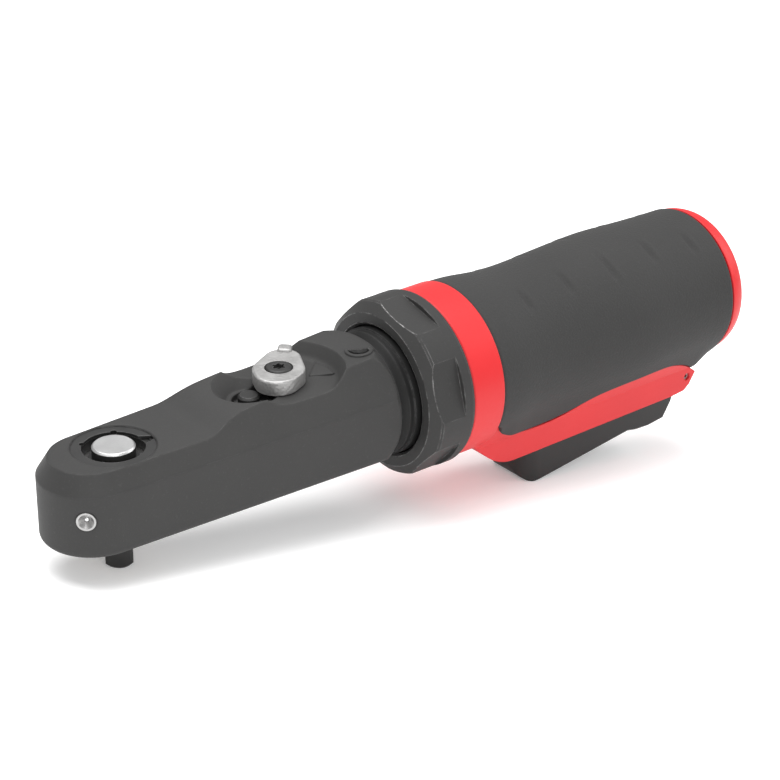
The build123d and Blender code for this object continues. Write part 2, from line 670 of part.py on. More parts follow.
def keel_window():
    """Side view of the opening that the case's red side panels fill."""
    edge = Spline((99.6, -10.5), (105.5, -16.2), (114, -17.6), (123, -17.2), (134, -14.3), (146, -13.2),
                  (157, -13.4), (KEEL_END_X, KEEL_TIP_Z))
    rest = Polyline((KEEL_END_X, KEEL_TIP_Z), (KEEL_END_X, -40), (90, -40), (90, -10.5), (99.6, -10.5))
    return Plane.XZ * (edge + rest)


# ---------------------------------------------------------------- rear end and air supply
def exhaust_cap():
    """Domed ring behind the grip with exhaust slots round the inlet."""
    dome = Spline((GRIP_END_X, CAP_R), (179.6, CAP_R - 0.5), (CAP_END_X, CAP_R - 3.2),
                  tangents=[(1, 0), (-0.1, -1)])
    rest = Polyline((CAP_END_X, CAP_R - 3.2), (CAP_END_X, 15.4), (180.2, 15.2), (180.2, 9.4),
                    (GRIP_END_X, 9.4), (GRIP_END_X, CAP_R))
    body = revolve(make_face(dome + rest), Axis.X) - tube(CASE_END_X - 1, CASE_END_X + 1.2, 10.2, 15.6)
    for i in range(12):
        slot = block((176, 182), (-1.0, 1.0), (10.8, 14.2))
        body -= Rot(30 * i, 0, 0) * slot
    return body


def muffler():
    """Felt pad ring that the exhaust passes through, in a recess of the cap."""
    return tube(CASE_END_X, CASE_END_X + 1.2, 10.2, 15.6)


def inlet_bushing():
    """Threaded air inlet with a spanner hexagon at its outer end."""
    hexagon = Pos(180.4, 0, 0) * Rot(0, 90, 0) * extrude(RegularPolygon(9.2, 6), INLET_END_X - 180.4)
    hexagon &= turned([(180.4, 0), (180.4, 9.2), (183.2, 9.2), (INLET_END_X, 8.3), (INLET_END_X, 0)])
    body = rod(166.5, 180.4, 9.15) + hexagon
    body -= rod(INLET_END_X - INLET_DEPTH, INLET_END_X + 1, INLET_R)
    return body - rod(160, 190, 4.2)


def inlet_screen():
    """Dished strainer with a grid of holes."""
    body = rod(166.6, 167.4, 4.15)
    for row in range(-2, 3):
        for column in range(-2, 3):
            if row * row + column * column < 8:
                body -= rod(166, 168, 0.45, 1.3 * row, 1.3 * column)
    return body


def valve_bushing():
    body = ring(-19.0, 5.6, STEM_R + RUNNING, VALVE_R - 0.02, VALVE_X)
    body -= post(-1.5, 9, 3.3, VALVE_X)
    body -= rod(VALVE_X, 160, 2.4, 0, 3.0)
    body -= ring(-12, -11, VALVE_R - 0.9, VALVE_R + 1, VALVE_X)
    return body - rod(130, VALVE_X, 2.0, 0, -5.5)


def throttle_valve():
    """Poppet with its stem; the stem stands on the lever's pad."""
    body = post(STEM_TIP_Z + 0.8, 0, STEM_R, VALVE_X) + post(-1.45, 0.4, 2.9, VALVE_X)
    tip = Pos(VALVE_X, 0, STEM_TIP_Z + 0.8) * Sphere(STEM_R)
    return body + tip


def valve_spring():
    return Pos(VALVE_X, 0, 0.72) * coil(2.0, 0.3, 4.3, 5)


def valve_plug():
    return post(5.7, 8.4, VALVE_R, VALVE_X)


def valve_oring():
    return Pos(VALVE_X, 0, -11.5) * Torus(VALVE_R - 0.45, 0.44)


# ---------------------------------------------------------------- throttle lever
def lever_side():
    front, bottom = LEVER_FRONT_X, LEVER_BOTTOM_Z
    nose = ThreePointArc((front, bottom + 4.2), (front + 1.3, bottom + 1.2), (front + 4.2, bottom))
    rest = Polyline((front + 4.2, bottom), (124, -37.2), (152.5, -33.5), (155.5, -34.1), (160, -34.3),
                    (165.2, -33.7), (167.8, -29.6), (169.8, -23.0), (169.8, -18.9), (165, -18.9),
                    (150, -20.6), (front, -23.6), (front, bottom + 4.2))
    return Plane.XZ * (nose + rest)


def throttle_lever():
    """Channel-section lever hung on the cross pin at its rear end."""
    plan = RectangleRounded(160, 2 * LEVER_HALF, LEVER_CORNER_R)
    body = side_plate(lever_side(), 30) & Pos(LEVER_FRONT_X + 80, 0, -45) * extrude(plan, 40)
    trough = Polyline((LEVER_FRONT_X + 2.4, -10), (LEVER_FRONT_X + 2.4, -34.8), (124, -35.2),
                      (152.5, -31.5), (160, -32.4), (164, -31.8), (166, -28.8), (168, -22.8), (168, -10),
                      close=True)
    body -= side_plate(Plane.XZ * trough, LEVER_HALF - LEVER_WALL)
    body += block((144, 152), (-3.4, 3.4), (-33, STEM_TIP_Z - 0.75))
    pivot = Pos(LEVER_PIVOT[0], 0, LEVER_PIVOT[1]) * Rot(90, 0, 0) * Cylinder(LEVER_PIN_R + RUNNING, 40)
    return body - pivot


def lever_pin():
    """Spring pin across the keel, slotted along its length."""
    pin = Rot(90, 0, 0) * Cylinder(LEVER_PIN_R, 2 * KEEL_HALF - 2)
    pin -= Rot(90, 0, 0) * Cylinder(LEVER_PIN_R / 2, 40)
    pin -= block((-0.2, 0.2), (-20, 20), (0, 3))
    return Pos(LEVER_PIVOT[0], 0, LEVER_PIVOT[1]) * pin


# ---------------------------------------------------------------- write every piece
PIECES = {
    "ratchet_housing": ratchet_housing, "grease_fitting": grease_fitting, "grease_ball": grease_ball,
    "ratchet_gear": ratchet_gear, "drive_anvil": drive_anvil, "detent_ball": detent_ball,
    "detent_spring": detent_spring, "thrust_washer": thrust_washer, "wave_spring": wave_spring,
    "head_circlip": head_circlip, "gear_bush": gear_bush, "yoke": yoke, "pawl": pawl,
    "pawl_pin": pawl_pin, "pawl_plunger": pawl_plunger, "pawl_spring": pawl_spring,
    "shift_plate": shift_plate, "selector": selector, "reversing_lever": reversing_lever,
    "lever_screw": lever_screw, "reverse_detent_ball": reverse_detent_ball,
    "reverse_detent_spring": reverse_detent_spring, "crankshaft": crankshaft,
    "crank_bushing": crank_bushing, "crank_bearing": crank_bearing, "planet_pins": planet_pins,
    "ring_gear": ring_gear, "rotor": rotor, "rotor_vanes": rotor_vanes,
    "motor_cylinder": motor_cylinder, "clamp_nut": clamp_nut, "gearcase_gasket": gearcase_gasket,
    "motor_case": motor_case, "grip_sleeve": grip_sleeve, "exhaust_cap": exhaust_cap,
    "muffler": muffler, "inlet_bushing": inlet_bushing, "inlet_screen": inlet_screen,
    "valve_bushing": valve_bushing, "throttle_valve": throttle_valve, "valve_spring": valve_spring,
    "valve_plug": valve_plug, "valve_oring": valve_oring,
    "throttle_lever": throttle_lever, "lever_pin": lever_pin,
}

for node, make in PIECES.items():
    save(make(), node)

for index in range(3):
    save(planet_gear(index), f"planet_gear_{index + 1}")

for name, x in (("front", FRONT_BEARING_X), ("rear", REAR_BEARING_X)):
    save(bearing_race(x, BEARING_R[0], BEARING_R[1]), f"{name}_bearing_inner")
    save(bearing_race(x, BEARING_R[2], BEARING_R[3]), f"{name}_bearing_outer")
    save(bearing_balls(x), f"{name}_bearing_balls")

save(end_plate(ROTOR_X[0] - END_GAP, False), "front_end_plate")
save(end_plate(ROTOR_X[1] + END_GAP, True), "rear_end_plate")
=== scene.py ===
# %% [markdown]
# # A compact air ratchet
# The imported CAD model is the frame: it says where every piece is, how big it is and what it turns on.
# This lesson only dresses it. It places a camera and soft lights, writes one finish for each kind of
# surface, models the moulded grip afresh and adds the small raised marks on the head.

# %% Load the frame
import bmesh
import bpy
import json
from math import acos, atan2, cos, degrees, exp, pi, radians, sin, sqrt
from mathutils import Matrix, Vector


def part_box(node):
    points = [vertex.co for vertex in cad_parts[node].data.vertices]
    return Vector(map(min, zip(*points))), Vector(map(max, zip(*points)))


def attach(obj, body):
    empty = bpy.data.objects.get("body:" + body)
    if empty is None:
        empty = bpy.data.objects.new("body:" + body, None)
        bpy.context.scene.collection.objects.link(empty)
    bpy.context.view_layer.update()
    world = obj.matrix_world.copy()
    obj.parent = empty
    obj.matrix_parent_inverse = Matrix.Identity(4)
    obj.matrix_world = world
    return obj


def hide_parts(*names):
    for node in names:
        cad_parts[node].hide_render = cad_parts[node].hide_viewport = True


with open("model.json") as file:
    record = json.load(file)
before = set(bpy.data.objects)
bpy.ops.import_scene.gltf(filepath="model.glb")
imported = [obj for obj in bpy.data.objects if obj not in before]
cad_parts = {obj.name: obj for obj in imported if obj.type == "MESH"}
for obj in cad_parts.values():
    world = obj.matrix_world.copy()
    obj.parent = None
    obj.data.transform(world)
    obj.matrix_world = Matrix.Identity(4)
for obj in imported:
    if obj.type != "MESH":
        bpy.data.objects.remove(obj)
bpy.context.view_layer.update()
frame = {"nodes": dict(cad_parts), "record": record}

MM = 0.001

# %% [markdown]
# ## The camera
# A long lens a little above the tool, on the grease fitting's side of the nose. The head comes
# forward to the left and the handle runs back to the right. The camera is described by where it looks
# from, so moving it is a change of one angle.

# %% Place the camera
VIEW_AZIMUTH = radians(-38.39)
VIEW_ELEVATION = radians(27.15)
VIEW_DISTANCE = 642.3 * MM
LENS_MM = 120.0
LOOK_AT = Vector((100.0, 0.0, 0.0)) * MM
SIDE_STEP = -16.4 * MM
UP_STEP = -7.0 * MM

back = Vector((sin(VIEW_AZIMUTH) * cos(VIEW_ELEVATION), -cos(VIEW_AZIMUTH) * cos(VIEW_ELEVATION),
               sin(VIEW_ELEVATION)))
right = Vector((0, 0, 1)).cross(back).normalized()
up = back.cross(right)
camera_data = bpy.data.cameras.new("studio_camera")
camera_data.lens = LENS_MM
camera_data.sensor_width = 36.0
camera_data.clip_start = 0.01
camera = bpy.data.objects.new("studio_camera", camera_data)
bpy.context.scene.collection.objects.link(camera)
bpy.context.scene.camera = camera
spot = LOOK_AT + right * SIDE_STEP + up * UP_STEP + back * VIEW_DISTANCE
camera.matrix_world = Matrix.Translation(spot) @ Matrix((right, up, back)).transposed().to_4x4()
print("camera at", [round(v, 4) for v in spot])

# %% [markdown]
# ## Shader sums written as Python
# A material is a small sum over noises and edges. `Value` wraps a socket, so that `1 - mask * 0.3`
# adds the Math nodes by itself, and `Net.node` makes any other node: its type, its settings, then its
# sockets. Colours go through `mix`, because a Math node would turn them grey.

# %% Two helper classes
class Value:
    """A node's output socket that Python's operators can work on."""

    def __init__(self, net, socket):
        self.net = net
        self.socket = socket

    def math(self, operation, *others, first=False):
        terms = [*others, self] if first else [self, *others]
        return self.net.node("Math", {"operation": operation}, dict(enumerate(terms)))

    def __add__(self, other):
        return self.math("ADD", other)

    def __radd__(self, other):
        return self.math("ADD", other, first=True)

    def __sub__(self, other):
        return self.math("SUBTRACT", other)

    def __rsub__(self, other):
        return self.math("SUBTRACT", other, first=True)

    def __mul__(self, other):
        return self.math("MULTIPLY", other)

    def __rmul__(self, other):
        return self.math("MULTIPLY", other, first=True)

    def between(self, low, high):
        """Rises from 0 at low to 1 at high."""
        return ((self - low) * (1.0 / (high - low))).clamped()

    def clamped(self):
        return self.math("MAXIMUM", 0.0).math("MINIMUM", 1.0)


class Net:
    """One material's node tree."""

    def __init__(self, name):
        self.material = bpy.data.materials.new(name)
        self.material.use_nodes = True
        self.tree = self.material.node_tree
        self.tree.nodes.clear()

    def node(self, kind, settings=None, inputs=None, out=0):
        made = self.tree.nodes.new("ShaderNode" + kind)
        for key, value in (settings or {}).items():
            if key == "stops":
                fill_ramp(made.color_ramp, value)
            else:
                setattr(made, key, value)
        for key, value in (inputs or {}).items():
            if isinstance(value, Value):
                self.tree.links.new(value.socket, made.inputs[key])
            else:
                made.inputs[key].default_value = value
        return Value(self, made.outputs[out]) if made.outputs else None

    def place(self):
        return self.node("TexCoord", out=3)

    def noise(self, scale, detail=3.0, roughness=0.5, stretch=None):
        """Noise whose scale is in bumps per metre; stretch squeezes it along an axis."""
        at = self.place()
        if stretch:
            at = self.node("Mapping", {}, {"Vector": at, "Scale": stretch})
        return self.node("TexNoise", {}, {"Vector": at, "Scale": scale, "Detail": detail,
                                          "Roughness": roughness})

    def axis(self, letter):
        """How far a point lies along one of the frame's axes, in metres."""
        return self.node("SeparateXYZ", {}, {"Vector": self.place()}, out="XYZ".index(letter))

    def cells(self, scale, feature="F1"):
        return self.node("TexVoronoi", {"feature": feature}, {"Vector": self.place(), "Scale": scale})

    def ramp(self, value, *stops):
        return self.node("ValToRGB", {"stops": stops}, {0: value})

    def mix(self, factor, a, b):
        """Colour a where factor is 0, colour b where it is 1."""
        return self.node("Mix", {"data_type": "RGBA"}, {0: factor, 6: a, 7: b}, out=2)

    def soft_edge(self, radius_mm):
        """Normal of the surface with its edges rounded over."""
        return self.node("Bevel", {"samples": 6}, {"Radius": radius_mm * MM})

    def edge_mask(self, radius_mm, gain=6.0):
        """Near 1 on sharp edges and 0 on open faces."""
        rounded = self.soft_edge(radius_mm)
        plain = self.node("NewGeometry", out=1)
        same = self.node("VectorMath", {"operation": "DOT_PRODUCT"}, {0: rounded, 1: plain}, out=1)
        return ((1.0 - same) * gain).clamped()

    def finish(self, colour, roughness, metallic=0.0, bumps=(), edge_mm=0.25, **sockets):
        """Principled surface; bumps are (height, depth in mm) pairs laid over a rounded edge."""
        normal = self.soft_edge(edge_mm)
        for height, depth in bumps:
            normal = self.node("Bump", {}, {"Strength": 1.0, "Distance": depth * MM, "Height": height,
                                            "Normal": normal})
        inputs = {"Base Color": colour, "Roughness": roughness, "Metallic": metallic, "Normal": normal}
        for key, value in sockets.items():
            inputs[key.replace("_", " ").title().replace("Ior", "IOR")] = value
        surface = self.node("BsdfPrincipled", {}, inputs)
        self.node("OutputMaterial", {}, {"Surface": surface})
        return self.material


def fill_ramp(ramp, stops):
    """Stops are (position, grey or colour) pairs."""
    while len(ramp.elements) < len(stops):
        ramp.elements.new(0.5)
    for element, (position, shade) in zip(ramp.elements, stops):
        element.position = position
        element.color = (*shade, 1.0) if isinstance(shade, tuple) else (shade, shade, shade, 1.0)


def grey(level, warm=0.0):
    """A grey; warm moves it a little towards red."""
    return (level * (1 + warm), level, level * (1 - warm), 1.0)

print("helpers ready")

# %% [markdown]
# ## Finishes of the steel parts
# The head and nut are cast and machined steel under a thin, matte, dark coating. The coating is
# thinnest on edges, so a little steel shows there. Its grain is fine, a few tenths of a millimetre,
# and its gloss drifts slowly from place to place as on any handled tool. A spanner meets the nut's
# front first, so its wear fades towards the rear.

# %% Coated castings
def coated_steel(name, level, wear, wear_mm, edge_mm, fades=None, painted_shade_from=None):
    """Wear fades between two places along X; past the given place near the nut the colour is painted nearly
    black, as painted shade standing in for the shadow inside the nut's bore.
    """
    net = Net(name)
    grain = net.noise(2600, 4, 0.6)
    drift = net.noise(60, 3)
    specks = net.ramp(net.noise(1500, 2, 0.7), (0.60, 0.0), (0.72, 1.0))
    patches = net.ramp(net.noise(420, 4, 0.65), (0.38, 0.0), (0.62, 1.0))
    base = net.mix(drift, grey(level * 0.84, 0.01), grey(level * 1.18, 0.02))
    base = net.mix(specks * 0.25, base, grey(level * 1.9, 0.02))
    rubbed = net.edge_mask(wear_mm) * patches * wear
    if fades:
        rubbed = rubbed * (1.0 - net.axis("X").between(*fades) * 0.75)
    rubbed = rubbed.clamped()
    roughness = 0.50 + drift * 0.12 + grain * 0.10 - rubbed * 0.24
    # Painted shade: past this place along X the neck is painted nearly black, standing in for the shadow
    # cast inside the nut's bore.
    if painted_shade_from:
        beyond_line = net.axis("X").between(painted_shade_from, painted_shade_from + 0.2 * MM)
        base = net.mix(beyond_line * 0.92, base, grey(0.002))
    colour = net.mix(rubbed, base, grey(0.50, 0.01))
    return net.finish(colour, roughness, rubbed * 0.9, [(grain, 0.035), (drift, 0.15)], edge_mm,
                      specular_ior_level=0.27)


nut_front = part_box("clamp_nut")[0][0]
# From 4.2 mm before the nut's front onwards, the head's neck is painted nearly black as painted shade.
head_coating = coated_steel("head_coating", level=0.030, wear=0.10, wear_mm=0.35, edge_mm=0.9,
                            painted_shade_from=nut_front - 4.2 * MM)
nut_coating = coated_steel("nut_coating", level=0.026, wear=0.9, wear_mm=0.45, edge_mm=0.4,
                           fades=(nut_front + 5 * MM, nut_front + 8 * MM))
print("coated steel:", head_coating.name, nut_coating.name)

# %% [markdown]
# Ground steel shows fine lines along the way it was ground, which is noise squeezed along one axis.
# Blackened steel is a conversion layer: nearly black, a little metallic and rubbed grey on its edges.
# The reversing lever is a bright casting with small pits, and the bushes are porous bronze.

# %% Bright, black and drawn steels
def ground_steel(name="ground_steel", dark=0.50, light=0.64, rough=0.24):
    net = Net(name)
    lines = net.noise(900, 3, 0.6, (1.0, 1.0, 18.0))
    cloud = net.noise(140, 3)
    colour = net.mix(cloud, grey(dark, 0.01), grey(light, 0.01))
    return net.finish(colour, rough + lines * 0.16, 1.0, [(lines, 0.01)], 0.15)


def black_oxide(name="black_oxide", bright_above=None):
    """Blackened steel; above a height its face may be turned bright."""
    net = Net(name)
    cloud = net.noise(260, 4, 0.6)
    grain = net.noise(3500, 2)
    rubbed = (net.edge_mask(0.2) * cloud * 0.7).clamped()
    colour = net.mix(rubbed, net.mix(cloud, grey(0.014), grey(0.030, 0.02)), grey(0.35))
    roughness = 0.38 + cloud * 0.18
    metallic = 0.35 + rubbed * 0.5
    if bright_above:
        beyond_line = net.axis("Z").between(bright_above, bright_above + 0.1 * MM)
        brushed = net.noise(1500, 3, 0.6, (1.0, 7.0, 1.0))
        colour = net.mix(beyond_line, colour, net.mix(brushed, grey(0.46), grey(0.62)))
        roughness = roughness - beyond_line * 0.08
        metallic = (metallic + beyond_line).clamped()
    return net.finish(colour, roughness, metallic, [(grain, 0.012)], 0.3)


def cast_silver():
    net = Net("cast_silver")
    pits = net.cells(1500)
    cloud = net.noise(220, 4, 0.6)
    colour = net.mix(cloud, grey(0.24, 0.015), grey(0.48, 0.01))
    return net.finish(colour, 0.44 + cloud * 0.16, 0.85, [(pits, 0.07), (cloud, 0.10)], 0.25)


def polished_steel():
    net = Net("polished_steel")
    scratches = net.noise(1800, 2, 0.5, (1.0, 9.0, 1.0))
    colour = net.mix(scratches, grey(0.72), grey(0.85))
    return net.finish(colour, 0.10 + scratches * 0.10, 1.0, [(scratches, 0.004)], 0.12)


def spring_wire():
    net = Net("spring_wire")
    drawn = net.noise(2200, 2, 0.5, (1.0, 1.0, 6.0))
    colour = net.mix(drawn, grey(0.34), grey(0.50))
    return net.finish(colour, 0.26 + drawn * 0.14, 1.0, [(drawn, 0.004)], 0.05)


def bronze():
    net = Net("bronze")
    pores = net.cells(2600)
    cloud = net.noise(240, 3)
    colour = net.mix(cloud, (0.42, 0.24, 0.09, 1), (0.60, 0.37, 0.16, 1))
    return net.finish(colour, 0.32 + cloud * 0.2, 1.0, [(pores, 0.02)], 0.15)

print("steels and bronze ready")

# %% [markdown]
# ## Finishes of the moulded parts
# The case is a satin red composite with an orange-peel skin too fine to see as shape. The grip is soft
# black rubber: the tool that moulded it was spark-eroded, which leaves an even pebble grain. The
# throttle lever is harder, smoother and nearly black.

# %% Red case, rubber and the rest
def red_composite():
    net = Net("red_composite")
    peel = net.noise(900, 3, 0.55)
    cloud = net.noise(50, 2)
    dust = net.ramp(net.noise(2400, 2, 0.7), (0.66, 0.0), (0.80, 1.0))
    colour = net.mix(cloud, (0.50, 0.010, 0.013, 1), (0.58, 0.014, 0.017, 1))
    colour = net.mix(dust * 0.06, colour, (0.9, 0.20, 0.20, 1))
    return net.finish(colour, 0.42 + peel * 0.10, 0.0, [(peel, 0.03)], 0.5, specular_ior_level=0.35,
                      coat_weight=0.04, coat_roughness=0.35)


def grip_rubber():
    net = Net("grip_rubber")
    pebble = net.cells(1700, "SMOOTH_F1")
    fine = net.noise(4200, 3, 0.6)
    cloud = net.noise(45, 3)
    colour = net.mix(cloud, grey(0.026, 0.01), grey(0.036, 0.015))
    colour = net.mix(net.ramp(fine, (0.55, 0.0), (0.75, 1.0)) * 0.3, colour, grey(0.070))
    return net.finish(colour, 0.66 + cloud * 0.12, 0.0, [(pebble, 0.06), (fine, 0.03)], 0.3,
                      sheen_weight=0.03, sheen_roughness=0.5, specular_ior_level=0.2)


def seal_rubber():
    net = Net("seal_rubber")
    cloud = net.noise(300, 3)
    colour = net.mix(cloud, grey(0.012), grey(0.022))
    return net.finish(colour, 0.45 + cloud * 0.2, 0.0, [(cloud, 0.02)], 0.1)


def lever_black():
    net = Net("lever_black")
    grain = net.noise(3000, 3, 0.6)
    cloud = net.noise(90, 3)
    colour = net.mix(cloud, grey(0.014, 0.01), grey(0.024, 0.02))
    return net.finish(colour, 0.48 + cloud * 0.12, 0.0, [(grain, 0.03)], 0.7, specular_ior_level=0.35)


def vane_resin():
    net = Net("vane_resin")
    weave = net.noise(1400, 2, 0.5, (1.0, 4.0, 1.0))
    colour = net.mix(weave, (0.13, 0.07, 0.035, 1), (0.22, 0.13, 0.07, 1))
    return net.finish(colour, 0.55 + weave * 0.15, 0.0, [(weave, 0.03)], 0.1)


def felt():
    net = Net("felt")
    fibres = net.noise(2600, 5, 0.75, (1.0, 1.0, 3.0))
    colour = net.mix(fibres, grey(0.10, 0.03), grey(0.24, 0.04))
    return net.finish(colour, 0.92 + fibres * 0.05, 0.0, [(fibres, 0.25)], 0.1)


MAKERS = (black_oxide, ground_steel, cast_silver, polished_steel, spring_wire, bronze, red_composite,
          grip_rubber, seal_rubber, vane_resin, felt, lever_black)
FINISHES = {"head_coating": head_coating}
FINISHES.update({maker.__name__: maker() for maker in MAKERS})
print(len(FINISHES), "finishes")

# %% [markdown]
# ## Dress the CAD nodes
# Each node of the frame names a material slot, so the finishes go on by a loop. Three nodes differ
# from their slot: the nut gets the coating with bright, rubbed edges, the drive anvil is turned bright
# on its top face, and the grease fitting is plated, so it is duller than the ground steel beside it.

# %% Assign finishes
drive_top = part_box("drive_anvil")[1][2]
OWN_FINISH = {"clamp_nut": nut_coating,
              "drive_anvil": black_oxide("drive_black", bright_above=drive_top - 0.5 * MM),
              "grease_fitting": ground_steel("plated_steel", dark=0.30, light=0.42, rough=0.30)}

for entry in frame["record"]["subparts"]:
    node = entry["node"]
    mesh = frame["nodes"][node].data
    mesh.materials.clear()
    mesh.materials.append(OWN_FINISH.get(node, FINISHES[entry["material_slot"]]))
print(len(frame["nodes"]), "nodes dressed")

# %% [markdown]
# ## The moulded grip
# The sleeve is a rubber overmould: round above, with flat flanks that lean in to meet the case's keel,
# a waist behind its front lip, a swell under the palm and a row of short notches for the fingers. It
# could be carved with booleans, but a sleeve is a surface with two directions, along and around, so it
# is simplest as a grid: one function gives the radius at any place, and the grid's two side edges follow
# the opening where the case comes through. Rows near an edge roll inwards, which makes the soft lip.

# %% Grip sizes
grip_low, grip_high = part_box("grip_sleeve")
GRIP_START = grip_low[0] / MM
GRIP_END = grip_high[0] / MM
TUBE_R = 18.25          # the case's tube, which the rubber sits on
LIP = 0.7               # how far from an edge the rubber starts to roll inwards
GRIP_PROFILE = [(97.7, 21.2), (104, 20.9), (112, 20.0), (121, 19.7), (134, 20.3), (148, 20.8),
                (162, 20.2), (171, 19.9), (177, 19.8)]
OPENING = [(97.0, -10.4), (98.6, -10.6), (99.6, -11.4), (100.6, -13.2), (102.4, -15.0), (105.5, -16.5),
           (109.5, -17.2), (114, -17.6), (123, -17.2), (134, -14.3), (146, -13.2), (157, -13.4),
           (163, -14.9), (167, -16.9), (170.5, -19.4)]
OPENING_END, OPENING_TIP = OPENING[-1]
FLANK_ANGLE = radians(116.4)    # from the top to where the flat flank starts
KEEL_ANGLE = radians(142.3)     # and to where it ends
NEAR_BOTTOM = 2.7               # an angle past the flanks, in radians
# place along the grip in mm, angle from the top and half of the length around it in degrees
NOTCHES = [(113.0, 32, 9), (126.9, 28, 11), (140.7, 29, 12), (154.8, 28, 9.5), (168.2, 31, 8.5)]
NOTCH_WIDTH = 0.85
print("grip from", round(GRIP_START, 1), "to", round(GRIP_END, 1), "mm")

# %% [markdown]
# The profile and the opening are smooth curves through a few places. A flat flank is a straight line in
# the end view, so its radius grows as 1 / cos of the angle past the flank's start. Each notch is a narrow
# dip along the grip with a low ridge behind it, and it fades out at both ends around the grip.

# %% Grip shape
def smooth_curve(points):
    """Cubic through the points with the slopes of their neighbours."""
    def at(x):
        if x <= points[0][0]:
            return points[0][1]
        if x >= points[-1][0]:
            return points[-1][1]
        i = max(k for k in range(len(points) - 1) if points[k][0] <= x)
        before, after = max(i - 1, 0), min(i + 2, len(points) - 1)
        (x0, y0), (x1, y1) = points[i], points[i + 1]
        width = x1 - x0
        m0 = (y1 - points[before][1]) / (x1 - points[before][0]) * width
        m1 = (points[after][1] - y0) / (points[after][0] - x0) * width
        t = (x - x0) / width
        return ((2 * t**3 - 3 * t**2 + 1) * y0 + (t**3 - 2 * t**2 + t) * m0
                + (3 * t**2 - 2 * t**3) * y1 + (t**3 - t**2) * m1)
    return at


def step(low, high, x):
    """Smooth step from 0 at low to 1 at high."""
    t = min(max((x - low) / (high - low), 0.0), 1.0)
    return t * t * (3 - 2 * t)


grip_radius = smooth_curve(GRIP_PROFILE)
opening_z = smooth_curve(OPENING)


def notch(x, angle):
    """Depth of the finger notches; those on the far side are fainter."""
    depth = 0.0
    for centre, place, half in NOTCHES:
        along = (x - centre) / NOTCH_WIDTH
        if abs(along) < 3:
            across = (abs(degrees(angle)) - place) / half
            depth += (0.52 * exp(-along * along) - 0.20 * exp(-(along - 1.6)**2)) * exp(-across**4)
    return depth if angle > 0 else depth * 0.35


def sleeve_radius(x, angle):
    """Radius in millimetres at x and at an angle from the top."""
    flank = min(max(abs(angle) - FLANK_ANGLE, 0.0), KEEL_ANGLE - FLANK_ANGLE)
    flatness = step(99, 106, x) * (1 - step(169, 177.5, x))
    radius = grip_radius(x) * (1 + flatness * (1 / cos(flank) - 1))
    rear_roll = max(x - (GRIP_END - 1.2), 0.0) / 1.2
    front_roll = max((GRIP_START + 0.8) - x, 0.0) / 0.8
    return radius - notch(x, angle) - 0.9 * rear_roll**2 - 0.35 * front_roll**2


def edge_angle(x):
    """Angle from the top at which the sleeve stops beside the opening, found by halving."""
    if x >= OPENING_END:
        closing = step(OPENING_END, OPENING_END + 0.9, x)
        tip_angle = acos(max(OPENING_TIP / sleeve_radius(x, NEAR_BOTTOM), -1.0))
        return tip_angle + (pi - tip_angle) * closing
    level = opening_z(x)
    low, high = radians(60), pi
    for _ in range(24):
        guess = (low + high) / 2
        if sleeve_radius(x, guess) * cos(guess) > level:
            low = guess
        else:
            high = guess
    return (low + high) / 2


print("waist radius", round(grip_radius(121), 2), "mm")
print("opening edge at", round(degrees(edge_angle(140))), "degrees from the top")

# %% [markdown]
# The grid needs more rows where the opening's edge turns, at the front corner and the rear tip. The
# outer skin and an inner skin on the case's tube share their borders, so the sleeve is a closed solid.

# %% Build the grip
def spread_rows():
    """Places along the grip, closest together at its two ends and at the opening's tip."""
    rows = [GRIP_START + 0.05 * i * i for i in range(5)]
    x = rows[-1]
    while x < GRIP_END - 1.3:
        near_tip = abs(x - OPENING_END - 0.5) < 1.6
        near_front = x < 101
        x += 0.12 if near_tip else 0.25 if near_front else 0.40
        rows.append(x)
    rows += [GRIP_END - 0.9 + 0.3 * i for i in range(4)]
    return [min(row, GRIP_END) for row in rows]


def around(count):
    """Fractions from one side edge to the other, closer together at the edges."""
    side = [0.0, 0.0015, 0.0035, 0.006, 0.009, 0.013]
    first = 0.018
    between = [first + (1 - 2 * first) * i / count for i in range(count + 1)]
    return side + between + [1 - s for s in reversed(side)]


def grip_mesh():
    rows, fractions = spread_rows(), around(150)
    vertices, faces = [], []
    for x in rows:
        limit = edge_angle(x)
        for f in fractions:
            angle = limit * (2 * f - 1)
            radius = sleeve_radius(x, angle)
            to_edge = (limit - abs(angle)) * radius
            if limit < pi - 1e-6 and to_edge < LIP:
                radius -= LIP - sqrt(max(LIP**2 - (LIP - to_edge)**2, 0.0))
            vertices.append((x * MM, -radius * sin(angle) * MM, radius * cos(angle) * MM))
    outer = len(vertices)
    for x in rows:
        limit = edge_angle(x)
        for f in fractions:
            angle = limit * (2 * f - 1)
            vertices.append((x * MM, -TUBE_R * sin(angle) * MM, TUBE_R * cos(angle) * MM))
    across = len(fractions)

    def at(row, column, skin):
        return skin * outer + row * across + column

    for row in range(len(rows) - 1):
        for column in range(across - 1):
            a, b = at(row, column, 0), at(row, column + 1, 0)
            c, d = at(row + 1, column + 1, 0), at(row + 1, column, 0)
            faces.append((a, b, c, d))
            faces.append(tuple(v + outer for v in (d, c, b, a)))
        for column, flip in ((0, False), (across - 1, True)):
            quad = [at(row, column, 0), at(row + 1, column, 0), at(row + 1, column, 1), at(row, column, 1)]
            faces.append(tuple(reversed(quad)) if flip else tuple(quad))
    for row, flip in ((0, True), (len(rows) - 1, False)):
        for column in range(across - 1):
            quad = [at(row, column, 0), at(row, column + 1, 0), at(row, column + 1, 1), at(row, column, 1)]
            faces.append(tuple(reversed(quad)) if flip else tuple(quad))
    mesh = bpy.data.meshes.new("grip_skin")
    mesh.from_pydata(vertices, [], faces)
    return mesh


def tidy_mesh(mesh):
    """Merge doubles and turn every face outwards."""
    work = bmesh.new()
    work.from_mesh(mesh)
    bmesh.ops.remove_doubles(work, verts=work.verts, dist=2e-6)
    bmesh.ops.recalc_face_normals(work, faces=work.faces)
    work.to_mesh(mesh)
    work.free()


